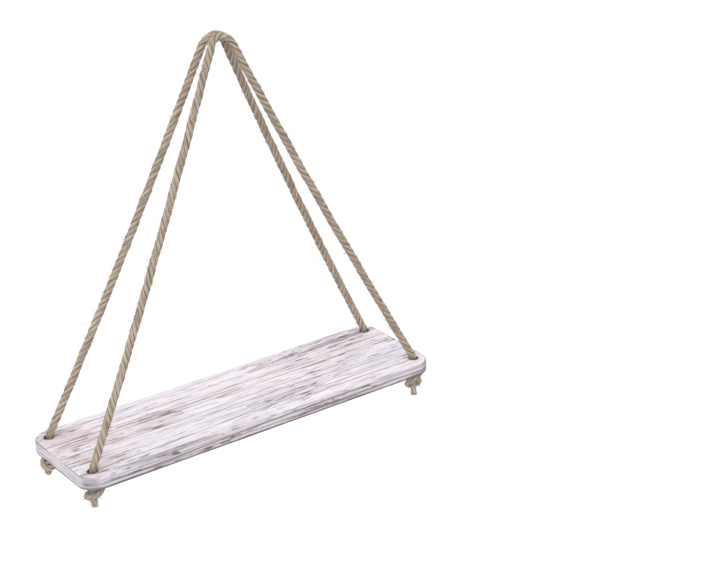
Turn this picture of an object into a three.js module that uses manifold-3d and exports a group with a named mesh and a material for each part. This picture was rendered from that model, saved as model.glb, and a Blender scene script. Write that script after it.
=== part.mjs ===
// A hanging rope shelf: one wooden board, hung from a single hook by two ropes.
// Each rope is knotted under the board at both ends and laid over the hook in its middle.
// Millimetres, +Z up, +X along the board, +Y to the back, origin in the middle of the hook.

import * as THREE from 'three';
import { mergeVertices } from 'three/addons/utils/BufferGeometryUtils.js';
import Module from 'manifold-3d';

// Board
const boardLength = 438;
const boardDepth = 125;
const boardThickness = 15.5;
const boardCornerRadius = 21;
const boardEdgeRounding = 3;

// Rope holes in the board
const holePlay = 2;
const holeEndInset = 16.1;
const holeSideInset = 16.5;
const holeRimChamfer = 1;

// Ropes
const ropeDiameter = 8;
const drawnRopeShare = 0.78;
const ropeTurnHeight = 2;
const ropeTurnLength = 8;

// Hanging point
const hookDiameter = 19.5;
const hangHeight = 387;
const neckLength = 6;
const ropeSpread = 4;
const legSag = 3.6;

// Fits
const clearance = 0.3;
const overrun = 5;

// Facets
const cornerSteps = 8;
const roundingSteps = 3;
const holeSides = 24;
const ropeSides = 12;
const knotSides = 8;
const ballSides = 48;
const seatSteps = 7;
const turnSteps = 5;
const sagSteps = 12;

// Overhand knot, as shares of the diameter of its own drawn rope
const looseSineShares = [0.5, 1.5];
const looseCosineShares = [0.4, 1.5];
const looseDepthShare = 0.9;
const looseTurnShare = 0.684;
const standingReachShare = 2;
const knotSpacingShare = 1.09;
const knotBendShare = 1.5;
const standingLineShare = 0.6;

// Drawing the knot tight
const loosePoints = 80;
const knotPoints = 78;
const drawPasses = 400;
const smoothPasses = 3;
const pushPasses = 6;
const heldPoints = 6;

// Hand of each knot: -1 is the mirror image of 1
const knotHands = { front_left: 1, front_right: 1, back_left: -1, back_right: 1 };

// Turn of each knot about its hole, in degrees
const knotTurns = { front_left: 345, front_right: 274, back_left: 358, back_right: 15 };

// Where each knot lets go of its tail, as shares of the diameter of its own drawn rope
const tailEndShares = {
  front_left: [0, 1.1, -2.15],
  front_right: [0.9, -0.7, -2.15],
  back_left: [-0.4, -1, -2.75],
  back_right: [-0.6, 0.7, -2.45],
};

// Length of each tail below its knot's last bend
const tailLengths = { front_left: 3.5, front_right: 0.5, back_left: 2, back_right: 4 };

// Sizes that follow
const ropeRadius = ropeDiameter / 2;
const drawnRopeDiameter = ropeDiameter * drawnRopeShare;
const holeRadius = (ropeDiameter + holePlay) / 2;
const seatRadius = hookDiameter / 2 + ropeRadius;
const ropeOffset = ropeRadius + clearance / 2;
const topFace = -hangHeight;
const underside = topFace - boardThickness;
const holeMiddle = topFace - boardThickness / 2;
const leavingOffset = ropeOffset + ropeSpread;
const hookBall = Math.hypot(seatRadius, leavingOffset) + ropeRadius + clearance;
const swingBall = hookBall + neckLength;
const swayBall = swingBall + neckLength;

const wood = { color: 0xd8ced6, roughness: 0.7, metalness: 0 };
const jute = { color: 0xa08f79, roughness: 0.95, metalness: 0 };

const wasm = await Module();
wasm.setup();

// Turns a closed geometry into a solid that can be cut and joined.
function solidOf(geometry) {
  const bare = geometry.clone();
  bare.deleteAttribute('normal');
  bare.deleteAttribute('uv');
  const merged = mergeVertices(bare);
  const vertProperties = new Float32Array(merged.attributes.position.array);
  const triVerts = new Uint32Array(merged.index.array);
  return new wasm.Manifold(new wasm.Mesh({ numProp: 3, vertProperties, triVerts }));
}

// Turns a solid back into a geometry with flat faces.
function geometryOf(solid) {
  const mesh = solid.getMesh();
  const geometry = new THREE.BufferGeometry();
  geometry.setAttribute('position', new THREE.BufferAttribute(new Float32Array(mesh.vertProperties), 3));
  geometry.setIndex(new THREE.BufferAttribute(new Uint32Array(mesh.triVerts), 1));
  geometry.computeVertexNormals();
  return geometry;
}

// Adds one named piece to the shelf.
function addPiece(name, geometry, finish) {
  const mesh = new THREE.Mesh(geometry, new THREE.MeshStandardMaterial(finish));
  mesh.name = name;
  shelf.add(mesh);
  return mesh;
}

// A rectangle with round corners, about the origin.
function roundedOutline(length, depth, radius) {
  const outline = new THREE.Shape();
  const x = length / 2 - radius;
  const y = depth / 2 - radius;
  outline.absarc(x, y, radius, 0, Math.PI / 2);
  outline.absarc(-x, y, radius, Math.PI / 2, Math.PI);
  outline.absarc(-x, -y, radius, Math.PI, Math.PI * 1.5);
  outline.absarc(x, -y, radius, Math.PI * 1.5, Math.PI * 2);
  return outline;
}

// A round cutter for one rope hole, flared where it breaks through the two faces.
function holeCutter(x, y) {
  const half = boardThickness / 2;
  const flare = holeRadius + holeRimChamfer + overrun;
  const profile = [
    new THREE.Vector2(0, -half - overrun),
    new THREE.Vector2(flare, -half - overrun),
    new THREE.Vector2(holeRadius, -half + holeRimChamfer),
    new THREE.Vector2(holeRadius, half - holeRimChamfer),
    new THREE.Vector2(flare, half + overrun),
    new THREE.Vector2(0, half + overrun),
  ];
  const cutter = new THREE.LatheGeometry(profile, holeSides);
  cutter.rotateX(Math.PI / 2);
  cutter.translate(x, y, holeMiddle);
  return solidOf(cutter);
}

// The board: eased all round, with a hole for the rope in each corner.
function boardGeometry() {
  const outline = roundedOutline(boardLength, boardDepth, boardCornerRadius);
  const blank = new THREE.ExtrudeGeometry(outline, {
    depth: boardThickness - 2 * boardEdgeRounding,
    curveSegments: cornerSteps,
    bevelThickness: boardEdgeRounding,
    bevelSize: boardEdgeRounding,
    bevelOffset: -boardEdgeRounding,
    bevelSegments: roundingSteps,
  });
  blank.translate(0, 0, underside + boardEdgeRounding);
  let solid = solidOf(blank);
  for (const corner of corners) {
    const hole = holeCentre(corner);
    solid = solid.subtract(holeCutter(hole.x, hole.y));
  }
  return geometryOf(solid);
}

function holeCentre(corner) {
  const x = boardLength / 2 - holeEndInset;
  const y = boardDepth / 2 - holeSideInset;
  return new THREE.Vector3(corner.side * x, corner.row * y, topFace);
}

// Where a rope stands in its hole: drawn against the rim on the side that it leans to.
function ropeFoot(corner) {
  const hole = holeCentre(corner);
  const lean = new THREE.Vector3(-hole.x, corner.row * leavingOffset - hole.y, 0).normalize();
  return hole.addScaledVector(lean, holeRadius - ropeRadius - clearance);
}

// Where a sagging leg leaves the hook: the angle, above level, at which it touches the seat's circle.
function leavingAngle(turn) {
  const reach = Math.hypot(turn.x, turn.z);
  const sagging = Math.atan((4 * legSag) / reach);
  return Math.atan2(turn.z, Math.abs(turn.x)) + Math.acos(seatRadius / reach) - sagging;
}

// Half of a rope's middle line, from inside the board up to the top of the hook. The two ropes lie
// side by side on top of the hook and spread as they leave it.
function halfRoute(corner) {
  const foot = ropeFoot(corner);
  const turn = foot.clone().setZ(topFace + ropeTurnHeight);
  const angle = leavingAngle(turn);
  const onSeat = (share) => {
    const a = THREE.MathUtils.lerp(angle, Math.PI / 2, share);
    return new THREE.Vector3(
      corner.side * seatRadius * Math.cos(a),
      corner.row * (ropeOffset + ropeSpread * (1 - share) ** 2),
      seatRadius * Math.sin(a),
    );
  };
  const onLeg = (share) => {
    const point = turn.clone().lerp(onSeat(0), share);
    point.x -= corner.side * legSag * 4 * share * (1 - share);
    return point;
  };
  const legLength = turn.distanceTo(onSeat(0));
  const bend = ropeTurnLength / 2 / legLength;
  const below = turn.clone().setZ(turn.z - ropeTurnLength / 2);
  const route = [foot.clone().setZ(holeMiddle + clearance / 2)];
  route.push(...new THREE.QuadraticBezierCurve3(below, turn, onLeg(bend)).getPoints(turnSteps));
  for (let step = 1; step < sagSteps; step++) {
    route.push(onLeg(THREE.MathUtils.lerp(bend, 1, step / sagSteps)));
  }
  for (let step = 0; step <= seatSteps; step++) {
    route.push(onSeat(step / seatSteps));
  }
  return route;
}

// The middle line of a whole rope, from its left end over the hook to its right end.
function ropeRoute(row) {
  const left = halfRoute({ side: -1, row });
  const right = halfRoute({ side: 1, row });
  return left.concat(right.slice(0, -1).reverse());
}

// A round rope along a middle line: a ring at each point, square to the line, and flat ends.
function ropeGeometry(route, radius, sides) {
  const positions = [];
  const indices = [];
  const ahead = route.map((point, i) => {
    const next = route[Math.min(i + 1, route.length - 1)];
    return next.clone().sub(route[Math.max(i - 1, 0)]).normalize();
  });
  const across = new THREE.Vector3(0, 1, 0).cross(ahead[0]).normalize();
  route.forEach((point, i) => {
    if (i > 0) {
      across.applyQuaternion(new THREE.Quaternion().setFromUnitVectors(ahead[i - 1], ahead[i]));
    }
    const beside = ahead[i].clone().cross(across);
    for (let k = 0; k < sides; k++) {
      const a = (2 * Math.PI * k) / sides;
      const vertex = point.clone().addScaledVector(across, radius * Math.cos(a));
      vertex.addScaledVector(beside, radius * Math.sin(a));
      positions.push(...vertex.toArray());
    }
  });
  const last = (route.length - 1) * sides;
  for (let k = 0; k < sides; k++) {
    const n = (k + 1) % sides;
    for (let ring = 0; ring < last; ring += sides) {
      indices.push(ring + k, ring + n, ring + sides + n);
      indices.push(ring + k, ring + sides + n, ring + sides + k);
    }
    if (k > 0 && n > 0) {
      indices.push(0, n, k);
      indices.push(last, last + k, last + n);
    }
  }
  const geometry = new THREE.BufferGeometry();
  geometry.setAttribute('position', new THREE.Float32BufferAttribute(positions, 3));
  geometry.setIndex(indices);
  return geometry;
}

// A ball about the hook. Outside a turning piece its facets lie outside the true radius, so that
// what turns inside it never meets them.
function hookCentredBall(radius, around) {
  const facet = around ? Math.cos(Math.PI / ballSides) ** 2 : 1;
  return solidOf(new THREE.SphereGeometry(radius / facet, ballSides, ballSides / 2));
}

// The half of space on one side of the hook, as a box.
function sideBlock(side) {
  const size = boardLength + hangHeight;
  const block = new THREE.BoxGeometry(size, size, 2 * size);
  block.translate((side * size) / 2, 0, 0);
  return solidOf(block);
}

// The two ropes, each cut at three balls about the hook: the bight over the hook, two short
// necks on each side, and the legs. The cuts let the shelf swing, sway and twist at the hook.
function addRopes() {
  const balls = [hookBall, swingBall, swayBall];
  for (const [rowName, row] of rows) {
    const rope = solidOf(ropeGeometry(ropeRoute(row), ropeRadius, ropeSides));
    addPiece(`${rowName}_rope_bight`, geometryOf(rope.intersect(hookCentredBall(hookBall, false))), jute);
    for (const [sideName, side] of sides) {
      const half = rope.intersect(sideBlock(side));
      stretchNames.forEach((stretch, i) => {
        let solid = half.subtract(hookCentredBall(balls[i] + clearance, true));
        if (i < balls.length - 1) {
          solid = solid.intersect(hookCentredBall(balls[i + 1], false));
        }
        addPiece(`${rowName}_${sideName}_${stretch}`, geometryOf(solid), jute);
      });
    }
  }
}

// Points at even steps along a line.
function evenPoints(line, count) {
  const lengths = [0];
  for (let i = 1; i < line.length; i++) {
    lengths.push(lengths[i - 1] + line[i].distanceTo(line[i - 1]));
  }
  const total = lengths[lengths.length - 1];
  const points = [];
  let i = 1;
  for (let k = 0; k < count; k++) {
    const goal = (total * k) / (count - 1);
    while (i < line.length - 1 && lengths[i] < goal) {
      i += 1;
    }
    const share = (goal - lengths[i - 1]) / (lengths[i] - lengths[i - 1]);
    points.push(line[i - 1].clone().lerp(line[i], share));
  }
  return points;
}

// A wide open overhand knot: an open trefoil with its standing part above and its tail below.
function looseKnot(tailEnd) {
  const line = [new THREE.Vector3(0, 0, standingReachShare)];
  for (let i = 0; i < loosePoints; i++) {
    const t = Math.PI * looseTurnShare * ((2 * i) / (loosePoints - 1) - 1);
    line.push(new THREE.Vector3(
      looseSineShares[0] * Math.sin(t) + looseSineShares[1] * Math.sin(2 * t),
      looseCosineShares[0] * Math.cos(t) - looseCosineShares[1] * Math.cos(2 * t),
      -looseDepthShare * Math.sin(3 * t),
    ));
  }
  line.push(new THREE.Vector3(...tailEnd));
  return evenPoints(line, knotPoints);
}

// Lets a line shorten between its fixed ends.
function shorten(line) {
  return line.map((point, i) => {
    if (i === 0 || i === line.length - 1) {
      return point;
    }
    const middle = line[i - 1].clone().add(line[i + 1]).multiplyScalar(0.5);
    return point.clone().lerp(middle, 0.5);
  });
}

// Pushes apart the points of a line that are closer than the rope is thick.
function pushApart(line) {
  const step = line[0].distanceTo(line[1]);
  const apart = Math.floor(knotBendShare / step) + 1;
  const moves = line.map(() => new THREE.Vector3());
  const touches = line.map(() => 0);
  for (let i = 0; i < line.length; i++) {
    for (let j = i + apart; j < line.length; j++) {
      const push = line[i].clone().sub(line[j]);
      const distance = push.length();
      if (distance < knotSpacingShare) {
        push.multiplyScalar((knotSpacingShare - distance) / (2 * distance));
        moves[i].add(push);
        moves[j].sub(push);
        touches[i] += 1;
        touches[j] += 1;
      }
    }
  }
  return line.map((point, i) => {
    if (touches[i] === 0 || i === 0 || i === line.length - 1) {
      return point;
    }
    return point.clone().addScaledVector(moves[i], 0.5 / Math.sqrt(touches[i]));
  });
}

// A knot drawn tight, as a line of points in diameters of the drawn rope.
function tightKnot(tailEnd, hand) {
  let line = looseKnot(tailEnd);
  for (let pass = 0; pass < drawPasses; pass++) {
    for (let i = 0; i < smoothPasses; i++) {
      line = shorten(line);
    }
    for (let i = 0; i < pushPasses; i++) {
      line = pushApart(line);
    }
    line = evenPoints(line, knotPoints);
    line.slice(0, heldPoints).forEach((point, i) => {
      point.x *= i / heldPoints;
      point.y *= i / heldPoints;
    });
  }
  line.forEach((point) => {
    point.y *= hand;
  });
  return line;
}

// A knot's middle line, with its shoulder at zero height, its standing part up to a height and
// its tail let out straight on.
function knotRoute(drawn, standingHeight, tailLength) {
  const line = drawn.map((point) => point.clone().multiplyScalar(drawnRopeDiameter));
  const end = line[line.length - 1];
  const tail = end.clone().sub(line[line.length - 2]).setLength(tailLength);
  const loops = line.filter((point) => Math.hypot(point.x, point.y) > standingLineShare * drawnRopeDiameter);
  const shoulder = Math.max(...loops.map((point) => point.z)) + drawnRopeDiameter / 2;
  line.push(end.clone().add(tail));
  line.forEach((point) => {
    point.z -= shoulder;
  });
  return [new THREE.Vector3(0, 0, standingHeight), ...line];
}

// The least gap between the rope of a knot and itself, past its own bend.
function leastGap(route, diameter) {
  const step = route[2].distanceTo(route[3]);
  const apart = Math.floor((knotBendShare * diameter) / step) + 1;
  let least = Infinity;
  for (let i = 0; i < route.length; i++) {
    for (let j = i + apart; j < route.length; j++) {
      least = Math.min(least, route[i].distanceTo(route[j]));
    }
  }
  return least - diameter;
}

// The radius of the tightest bend of a line.
function tightestBend(route) {
  let least = Infinity;
  for (let i = 2; i < route.length - 1; i++) {
    const corner = new THREE.Triangle(route[i - 1], route[i], route[i + 1]);
    const product = route[i].distanceTo(route[i - 1]) * route[i].distanceTo(route[i + 1]);
    least = Math.min(least, (product * route[i - 1].distanceTo(route[i + 1])) / (4 * corner.getArea()));
  }
  return least;
}

// An overhand knot with its short tail under each hole, drawn up to the underside of the board.
function addKnots() {
  for (const corner of corners) {
    const drawn = tightKnot(tailEndShares[corner.name], knotHands[corner.name]);
    const route = knotRoute(drawn, clearance / 2 + boardThickness / 2, tailLengths[corner.name]);
    const gap = leastGap(route, drawnRopeDiameter).toFixed(2);
    console.log(`${corner.name}: least gap of the knot to itself ${gap} mm, bend ${tightestBend(route).toFixed(2)} mm`);
    const geometry = ropeGeometry(route, drawnRopeDiameter / 2, knotSides);
    const knot = addPiece(`${corner.name}_knot`, geometry, jute);
    knot.position.copy(ropeFoot(corner).setZ(underside - clearance));
    knot.rotation.z = THREE.MathUtils.degToRad(knotTurns[corner.name]);
  }
}

const rows = [['front', -1], ['back', 1]];
const sides = [['left', -1], ['right', 1]];
const stretchNames = ['swing_neck', 'sway_neck', 'leg'];
const corners = rows.flatMap(([rowName, row]) =>
  sides.map(([sideName, side]) => ({ name: `${rowName}_${sideName}`, row, side })));

const shelf = new THREE.Group();
addPiece('board', boardGeometry(), wood);
addRopes();
addKnots();

export default shelf;
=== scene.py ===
"""A hanging rope shelf: one whitewashed board, hung from a hook by two laid jute ropes.

Metres, +Z up, +X along the board, +Y to the back, origin in the middle of the hook.
"""

import math

import bmesh
import bpy
import numpy as np
from mathutils import Matrix, Vector


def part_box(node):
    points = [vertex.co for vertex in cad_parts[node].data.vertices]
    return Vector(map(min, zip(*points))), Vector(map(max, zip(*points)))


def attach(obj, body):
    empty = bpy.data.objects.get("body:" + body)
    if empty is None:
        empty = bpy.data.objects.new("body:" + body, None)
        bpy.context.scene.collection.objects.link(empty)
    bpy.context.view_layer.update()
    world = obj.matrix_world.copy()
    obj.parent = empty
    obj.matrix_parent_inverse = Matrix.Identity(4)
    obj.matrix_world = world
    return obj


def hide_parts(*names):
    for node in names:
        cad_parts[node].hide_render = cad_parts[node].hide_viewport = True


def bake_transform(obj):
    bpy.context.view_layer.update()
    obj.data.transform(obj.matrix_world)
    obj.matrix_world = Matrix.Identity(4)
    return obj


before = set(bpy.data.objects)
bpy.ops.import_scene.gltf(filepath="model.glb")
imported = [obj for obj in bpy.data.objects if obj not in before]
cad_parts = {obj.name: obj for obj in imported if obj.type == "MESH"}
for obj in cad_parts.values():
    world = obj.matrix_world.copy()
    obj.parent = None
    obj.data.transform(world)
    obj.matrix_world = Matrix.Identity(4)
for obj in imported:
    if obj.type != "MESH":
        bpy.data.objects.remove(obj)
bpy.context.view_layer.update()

MM = 0.001

# The board, from the frame
BOARD_LOW, BOARD_HIGH = (np.array(corner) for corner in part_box("board"))
BOARD_SIZE = BOARD_HIGH - BOARD_LOW
BOARD_HALF = BOARD_SIZE / 2
TOP_FACE = BOARD_HIGH[2]
UNDERSIDE = BOARD_LOW[2]
CORNER_RADIUS = 21 * MM
EDGE_ROUNDING = 3 * MM

# Rope holes
HOLE_RADIUS = 5 * MM
HOLE_RIM = 1 * MM
HOLE_X = BOARD_HALF[0] - 16.1 * MM
HOLE_Y = BOARD_HALF[1] - 16.5 * MM
HOLE_MIDDLE = (TOP_FACE + UNDERSIDE) / 2

# Ropes
ROPE_DIAMETER = 8 * MM
ROPE_RADIUS = ROPE_DIAMETER / 2
CROWN_RADIUS = 4.2 * MM
KNOT_ROPE_DIAMETER = 0.78 * ROPE_DIAMETER
KNOT_CROWN_RADIUS = 3.3 * MM
ROPE_TURN_HEIGHT = 2 * MM
ROPE_TURN_LENGTH = 8 * MM
HOOK_RADIUS = 9.75 * MM
CLEARANCE = 0.3 * MM
SEAT_RADIUS = HOOK_RADIUS + ROPE_RADIUS
ROPE_OFFSET = ROPE_RADIUS + CLEARANCE / 2
ROPE_SPREAD = 4 * MM
LEAVING_OFFSET = ROPE_OFFSET + ROPE_SPREAD
LEG_SAG = 3.6 * MM
LAY_LENGTHS = (33.5 * MM, 36.5 * MM)
STRANDS = 4

# Heights at which a rope is parted
NECK_TOP = 1.5 * MM
LEG_TOP = -36.3 * MM

# The ropes by their side along Y, which is also the hand of their lay, and the board's ends along X
ROWS = {"front": -1, "back": 1}
SIDES = {"left": -1, "right": 1}

# Each knot's hand, its turn about its hole in degrees, the end of its tail in diameters of the drawn
# rope, and the tail's length beyond that in mm
KNOT_HANDS = {"front_left": 1, "front_right": 1, "back_left": -1, "back_right": 1}
KNOT_TURNS = {"front_left": 345, "front_right": 274, "back_left": 358, "back_right": 15}
TAIL_END_SHARES = {
    "front_left": (0, 1.1, -2.15),
    "front_right": (0.9, -0.7, -2.15),
    "back_left": (-0.4, -1, -2.75),
    "back_right": (-0.6, 0.7, -2.45),
}
TAIL_LENGTHS = {"front_left": 3.5, "front_right": 0.5, "back_left": 2, "back_right": 4}


def colour(red, green, blue):
    """An sRGB colour of 0 to 255 as a linear one."""
    linear = []
    for value in (red, green, blue):
        share = value / 255
        linear.append(share / 12.92 if share <= 0.04045 else ((share + 0.055) / 1.055) ** 2.4)
    return (*linear, 1.0)


# The camera, where the photograph was taken from; its lens and sensor are in mm
CAMERA_PLACE = Vector((-975.2, -1593.3, 569.5)) * MM
CAMERA_AHEAD = Vector((0.5302, 0.7439, -0.4067)).normalized()
CAMERA_ROLL = math.radians(1.671)
CAMERA_LENS = 98.51
CAMERA_SENSOR = 36


def add_object(name, data):
    """An object in the scene for a mesh, a camera or a lamp."""
    added = bpy.data.objects.new(name, data)
    bpy.context.scene.collection.objects.link(added)
    return added


def add_camera():
    """The camera at the photograph's viewing angle."""
    right = CAMERA_AHEAD.cross(Vector((0, 0, 1))).normalized()
    up = right.cross(CAMERA_AHEAD)
    rolled_right = right * math.cos(CAMERA_ROLL) - up * math.sin(CAMERA_ROLL)
    rolled_up = right * math.sin(CAMERA_ROLL) + up * math.cos(CAMERA_ROLL)
    turn = Matrix((rolled_right, rolled_up, -CAMERA_AHEAD)).transposed().to_4x4()
    camera = add_object("camera", bpy.data.cameras.new("camera"))
    camera.matrix_world = Matrix.Translation(CAMERA_PLACE) @ turn
    camera.data.sensor_fit = "HORIZONTAL"
    camera.data.sensor_width = CAMERA_SENSOR
    camera.data.lens = CAMERA_LENS
    bpy.context.scene.camera = camera


# Shader nodes

# Where a Mix node has its factor and its two inputs, and where its output, for each kind of value
MIX_SLOTS = {"RGBA": ((0, 6, 7), 2), "FLOAT": ((0, 2, 3), 0)}


def join(tree, source, target):
    """Feeds an input from a socket, or gives it a plain value."""
    if isinstance(source, bpy.types.NodeSocket):
        tree.links.new(source, target)
    else:
        target.default_value = source


def add_node(tree, kind, *values, operation=None, **named):
    """A shader node, with its inputs fed in their order or by their names."""
    node = tree.nodes.new(kind)
    if operation:
        node.operation = operation
    for slot, value in zip(node.inputs, values):
        join(tree, value, slot)
    for name, value in named.items():
        join(tree, value, node.inputs[name])
    return node


def sums(tree, operation, *values):
    """A Math node on sockets or plain numbers."""
    return add_node(tree, "ShaderNodeMath", *values, operation=operation).outputs[0]


def times(tree, first, second):
    """Two masks or numbers multiplied."""
    return sums(tree, "MULTIPLY", first, second)


def vector_sums(tree, operation, *values):
    """A Vector Math node on sockets."""
    node = add_node(tree, "ShaderNodeVectorMath", *values, operation=operation)
    return node.outputs["Value" if operation == "LENGTH" else "Vector"]


def vector_of(tree, *values):
    """A vector made of up to three sockets or numbers, with the rest zero."""
    return add_node(tree, "ShaderNodeCombineXYZ", *values).outputs[0]


def parts_of(tree, vector):
    """The X, Y and Z of a vector."""
    return list(add_node(tree, "ShaderNodeSeparateXYZ", vector).outputs)


def ramp(tree, value, low, high, start=0.0, end=1.0):
    """A smooth step of a value between two limits."""
    node = add_node(tree, "ShaderNodeMapRange", value, low, high, start, end)
    node.interpolation_type = "SMOOTHSTEP"
    return node.outputs["Result"]


def blended(tree, share, first, second, kind="RGBA"):
    """A Mix node on two colours or, with the kind FLOAT, on two numbers."""
    node = tree.nodes.new("ShaderNodeMix")
    node.data_type = kind
    inputs, output = MIX_SLOTS[kind]
    for place, value in zip(inputs, (share, first, second)):
        join(tree, value, node.inputs[place])
    return node.outputs[output]


def layered(tree, paint, layers):
    """Colours laid over a paint one after another, each by its mask and its strength."""
    for mask, strength, tone in layers:
        paint = blended(tree, times(tree, mask, strength), paint, tone)
    return paint


def stretched(tree, vector, scale, shift=(0, 0, 0)):
    """A Mapping node."""
    return add_node(tree, "ShaderNodeMapping", Vector=vector, Location=shift, Scale=scale).outputs[0]


def noise(tree, vector, detail, roughness=0.5):
    """A Noise Texture at a scale of 1, so that its vector sets its size."""
    given = {"Vector": vector, "Scale": 1.0, "Detail": detail, "Roughness": roughness}
    return add_node(tree, "ShaderNodeTexNoise", **given).outputs["Fac"]


def attribute(tree, name):
    """An Attribute node on one of the mesh's own layers."""
    node = tree.nodes.new("ShaderNodeAttribute")
    node.attribute_name = name
    return node


def new_group(name, numbers, outputs):
    """A shader node group that takes a vector and named numbers, and its two end nodes."""
    group = bpy.data.node_groups.new(name, "ShaderNodeTree")
    group.interface.new_socket("Vector", in_out="INPUT", socket_type="NodeSocketVector")
    for label in numbers:
        group.interface.new_socket(label, in_out="INPUT", socket_type="NodeSocketFloat")
    for label, kind in outputs.items():
        group.interface.new_socket(label, in_out="OUTPUT", socket_type=kind)
    return group, group.nodes.new("NodeGroupInput"), group.nodes.new("NodeGroupOutput")


def use_group(tree, group, vector, **values):
    """Places a group, feeds it its vector and its values, and returns the node."""
    node = tree.nodes.new("ShaderNodeGroup")
    node.node_tree = group
    join(tree, vector, node.inputs["Vector"])
    for name, value in values.items():
        join(tree, value, node.inputs[name])
    return node


def streaks_group():
    """Fine streaks that run along a vector's X: fibres in wood and in jute."""
    numbers = ("Length", "Fineness", "Low", "High")
    group, given, result = new_group("streaks", numbers, {"Mask": "NodeSocketFloat"})
    fineness = given.outputs["Fineness"]
    size = vector_of(group, given.outputs["Length"], fineness, fineness)
    place = vector_sums(group, "MULTIPLY", given.outputs["Vector"], size)
    grain = noise(group, place, detail=3, roughness=0.6)
    join(group, ramp(group, grain, given.outputs["Low"], given.outputs["High"]), result.inputs["Mask"])
    return group


def new_material(name, roughness, specular):
    """A material, its node tree, and its shader with the constants set."""
    material = bpy.data.materials.new(name)
    material.use_nodes = True
    shader = material.node_tree.nodes["Principled BSDF"]
    shader.inputs["Roughness"].default_value = roughness
    shader.inputs["Specular IOR Level"].default_value = specular
    return material, material.node_tree, shader


def bump(tree, height, distance, strength):
    """The normal of a surface with a relief."""
    node = add_node(tree, "ShaderNodeBump", Height=height, Distance=distance, Strength=strength)
    return node.outputs["Normal"]


# Whitewashed wood

# the whitewash, also used as painted light on the board's end faces
PAINT_AND_LIGHT = colour(249, 243, 249)
PAINT_WARM = colour(246, 236, 242)
PAINT_COOL = colour(238, 234, 244)
WORN_LILAC = colour(188, 173, 184)
WORN_ROSY = colour(192, 166, 162)
GREY_GRAIN = colour(158, 146, 156)
# dark grain, also used for the painted shade along the lower arris
DARK_GRAIN_AND_SHADE = colour(114, 97, 104)
# dark bare wood, used with painted shade in the rope holes
BARE_WOOD_IN_SHADE = colour(92, 72, 60)

# The edges of the year rings: their number, how fast they change across the grain, the step that
# their slope is measured over, the slopes at which they fade in, the least slope that is divided by,
# and how far from its middle an edge's line starts and is full
RING_COUNT = 7.5
RING_SCALE = 34
RING_PROBE = 0.5 * MM
RING_SLOPES = (0.015, 0.05)
RING_LEAST_SLOPE = 0.02
RING_LINE_WIDTHS = (0.8 * MM, 0.25 * MM)

# How far the grain wanders, where along the board it is worn and rosy, its relief, and how far outside a
# rope hole its dark bare wood and painted shade start and are full
GRAIN_WANDER = 5 * MM
WORN_PLACES = (-160 * MM, 120 * MM)
ROSY_PLACES = (20 * MM, -120 * MM)
WOOD_RELIEF = 0.25 * MM
HOLE_WOOD_AND_SHADE = (1.2 * MM, 0.3 * MM)


def growth_lines(group, vector):
    """Thin dark lines along the grain, as the edges of a wood's year rings show on a sawn face."""
    fields = []
    for step in (0, RING_PROBE):
        place = stretched(group, vector, (1.2, RING_SCALE, RING_SCALE), shift=(0, step * RING_SCALE, 0))
        fields.append(times(group, noise(group, place, detail=1, roughness=0.3), RING_COUNT))
    away = sums(group, "ABSOLUTE", sums(group, "SUBTRACT", sums(group, "FRACT", fields[0]), 0.5))
    slope = sums(group, "ABSOLUTE", sums(group, "SUBTRACT", fields[1], fields[0]))
    distance = sums(group, "DIVIDE", away, sums(group, "MAXIMUM", slope, RING_LEAST_SLOPE))
    line = ramp(group, distance, *(width / RING_PROBE for width in RING_LINE_WIDTHS))
    line = times(group, line, ramp(group, slope, *RING_SLOPES))
    broken = noise(group, stretched(group, vector, (7, 90, 90), shift=(2, 6, 1)), detail=2)
    return times(group, line, ramp(group, broken, 0.32, 0.5, 0.45, 1.0))


def weathering_group(streaks):
    """Whitewash over grain. The vector runs along the grain in X, across it in Y."""
    outputs = {"Color": "NodeSocketColor", "Height": "NodeSocketFloat"}
    group, given, result = new_group("whitewash", ("Wear", "Rosiness"), outputs)
    vector = given.outputs["Vector"]
    wave = noise(group, stretched(group, vector, (5, 14, 14)), detail=1)
    drift = vector_of(group, 0.0, times(group, wave, GRAIN_WANDER))
    along = vector_sums(group, "ADD", vector, drift)

    line = growth_lines(group, along)
    broad = use_group(group, streaks, along, Length=14.0, Fineness=200.0, Low=0.52, High=0.62).outputs[0]
    fine = use_group(group, streaks, along, Length=30.0, Fineness=380.0, Low=0.52, High=0.62).outputs[0]
    dash = use_group(group, streaks, along, Length=44.0, Fineness=300.0, Low=0.57, High=0.62).outputs[0]
    crack = use_group(group, streaks, along, Length=4.0, Fineness=120.0, Low=0.6, High=0.64).outputs[0]

    patch = noise(group, stretched(group, vector, (9, 30, 30), shift=(3, 1, 0)), detail=2)
    tint = noise(group, stretched(group, vector, (8, 34, 34), shift=(7, 5, 2)), detail=2)
    bare = times(group, ramp(group, patch, 0.48, 0.62), given.outputs["Wear"])
    wood = blended(group, given.outputs["Rosiness"], WORN_LILAC, WORN_ROSY)
    rough = times(group, dash, ramp(group, patch, 0.42, 0.6, 0.25, 0.85))
    paint = layered(group, PAINT_AND_LIGHT, (
        (ramp(group, tint, 0.5, 0.66), 1.0, PAINT_WARM),
        (ramp(group, tint, 0.5, 0.34), 1.0, PAINT_COOL),
        (bare, 0.45, wood),
        (broad, 0.2, GREY_GRAIN),
        (fine, 0.28, GREY_GRAIN),
        (line, 0.9, DARK_GRAIN_AND_SHADE),
        (rough, 1.0, DARK_GRAIN_AND_SHADE),
        (times(group, broad, fine), 0.5, DARK_GRAIN_AND_SHADE),
        (crack, 0.45, DARK_GRAIN_AND_SHADE),
    ))
    join(group, paint, result.inputs["Color"])

    hollow = sums(group, "ADD", times(group, fine, 0.4), times(group, rough, 0.8))
    hollow = sums(group, "ADD", hollow, times(group, line, 0.6))
    hollow = sums(group, "ADD", hollow, crack)
    join(group, sums(group, "SUBTRACT", 1.0, hollow), result.inputs["Height"])
    return group


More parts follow.
